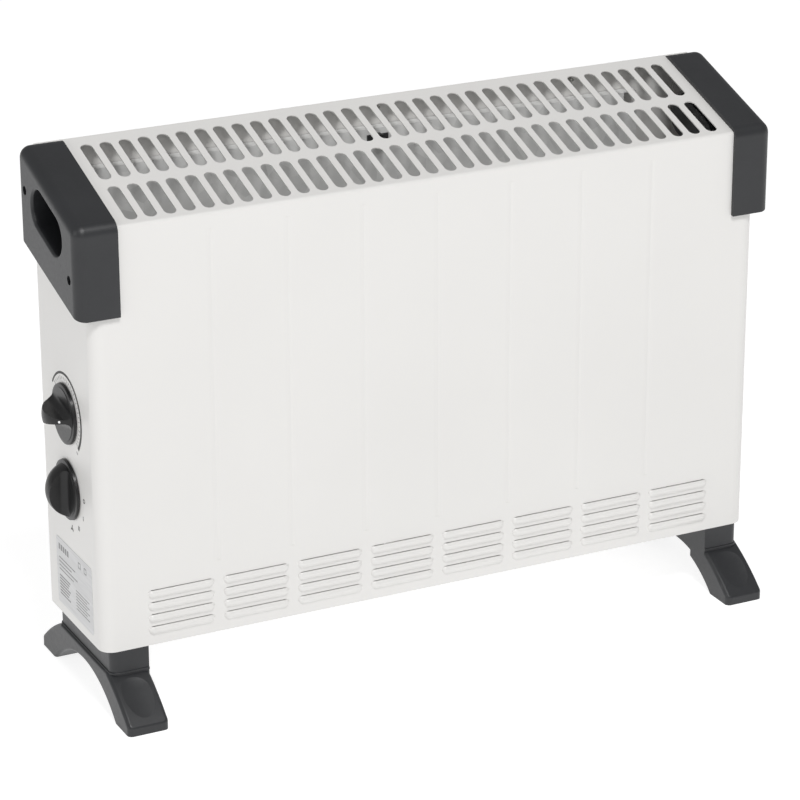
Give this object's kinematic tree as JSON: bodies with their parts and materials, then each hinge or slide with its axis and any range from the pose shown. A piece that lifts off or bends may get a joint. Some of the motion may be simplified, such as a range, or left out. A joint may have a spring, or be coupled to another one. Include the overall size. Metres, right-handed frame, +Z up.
{
  "type": "fan convector heater",
  "caption": "Free-standing convector heater with a slotted sloping top, louvred front, end handles, arched feet, two side knobs and an inner fan.",
  "frame": {"origin": "on the floor, under the middle of the bounding box", "axes": "+X along the heater towards the end without controls, front faces -Y, +Z up"},
  "size_m": [0.589, 0.183, 0.423],
  "materials": {
    "white_paint": "smooth white powder coat",
    "grey_plastic": "finely textured dark grey moulding",
    "black_gloss": "polished black moulding",
    "black_moulding": "black nylon and phenolic",
    "label": "plain silver-grey label",
    "zinc_screw": "zinc plated steel",
    "black_screw": "blackened steel",
    "galvanised": "spangled galvanised sheet",
    "brass": "bright brass",
    "nylon": "natural nylon",
    "mica": "pressed mica board",
    "ceramic": "unglazed steatite",
    "resistance_wire": "oxidised resistance wire",
    "laminations": "stacked iron laminations",
    "winding": "enamelled copper winding",
    "wire_insulation": "silicone insulation"
  },
  "bodies": {
    "casing": {"front_casing": "white_paint", "back_panel": "white_paint", "base_plate": "white_paint", "casing_screws": "zinc_screw", "left_handle": "grey_plastic", "right_handle": "grey_plastic", "handle_screws": "black_screw", "left_foot": "grey_plastic", "right_foot": "grey_plastic", "foot_screws": "zinc_screw", "rating_plate": "label", "thermostat_body": "black_moulding", "selector_body": "black_moulding", "control_screws": "zinc_screw", "switch_tabs": "brass", "cable_gland": "black_moulding", "gland_nut": "black_moulding", "terminal_block": "nylon", "terminal_screws": "brass", "rear_heat_shield": "galvanised", "front_heat_shield": "galvanised", "left_bracket": "galvanised", "right_bracket": "galvanised", "element_rails": "galvanised", "element_supports": "mica", "ceramic_bushings": "ceramic", "heating_coils_low": "resistance_wire", "heating_coils_high": "resistance_wire", "terminal_pins": "resistance_wire", "terminal_insulators": "ceramic", "thermal_cutout": "black_moulding", "thermal_fuse": "zinc_screw", "fan_guard": "galvanised", "fan_shroud": "galvanised", "fan_screws": "zinc_screw", "motor_stator": "laminations", "motor_coil": "winding", "motor_brackets": "galvanised", "motor_posts": "zinc_screw", "control_wires": "wire_insulation"},
    "thermostat_dial": {"thermostat_knob": "black_gloss", "thermostat_shaft": "zinc_screw"},
    "selector_dial": {"selector_knob": "black_gloss", "selector_shaft": "zinc_screw"},
    "fan_rotor": {"fan_impeller": "nylon", "motor_rotor": "laminations"}
  },
  "joints": [
    {"name": "thermostat_turn", "type": "hinge", "parent": "casing", "child": "thermostat_dial", "pos_m": [-0.2865, 0.005, 0.2266], "axis": [1, 0, 0], "range_deg": [-226, 44]},
    {"name": "selector_turn", "type": "hinge", "parent": "casing", "child": "selector_dial", "pos_m": [-0.2865, 0.005, 0.1655], "axis": [1, 0, 0], "range_deg": [-87, 0]},
    {"name": "fan_spin", "type": "hinge", "parent": "casing", "child": "fan_rotor", "pos_m": [0.0035, 0, 0.09], "axis": [0, 0, 1], "continuous": true}
  ]
}
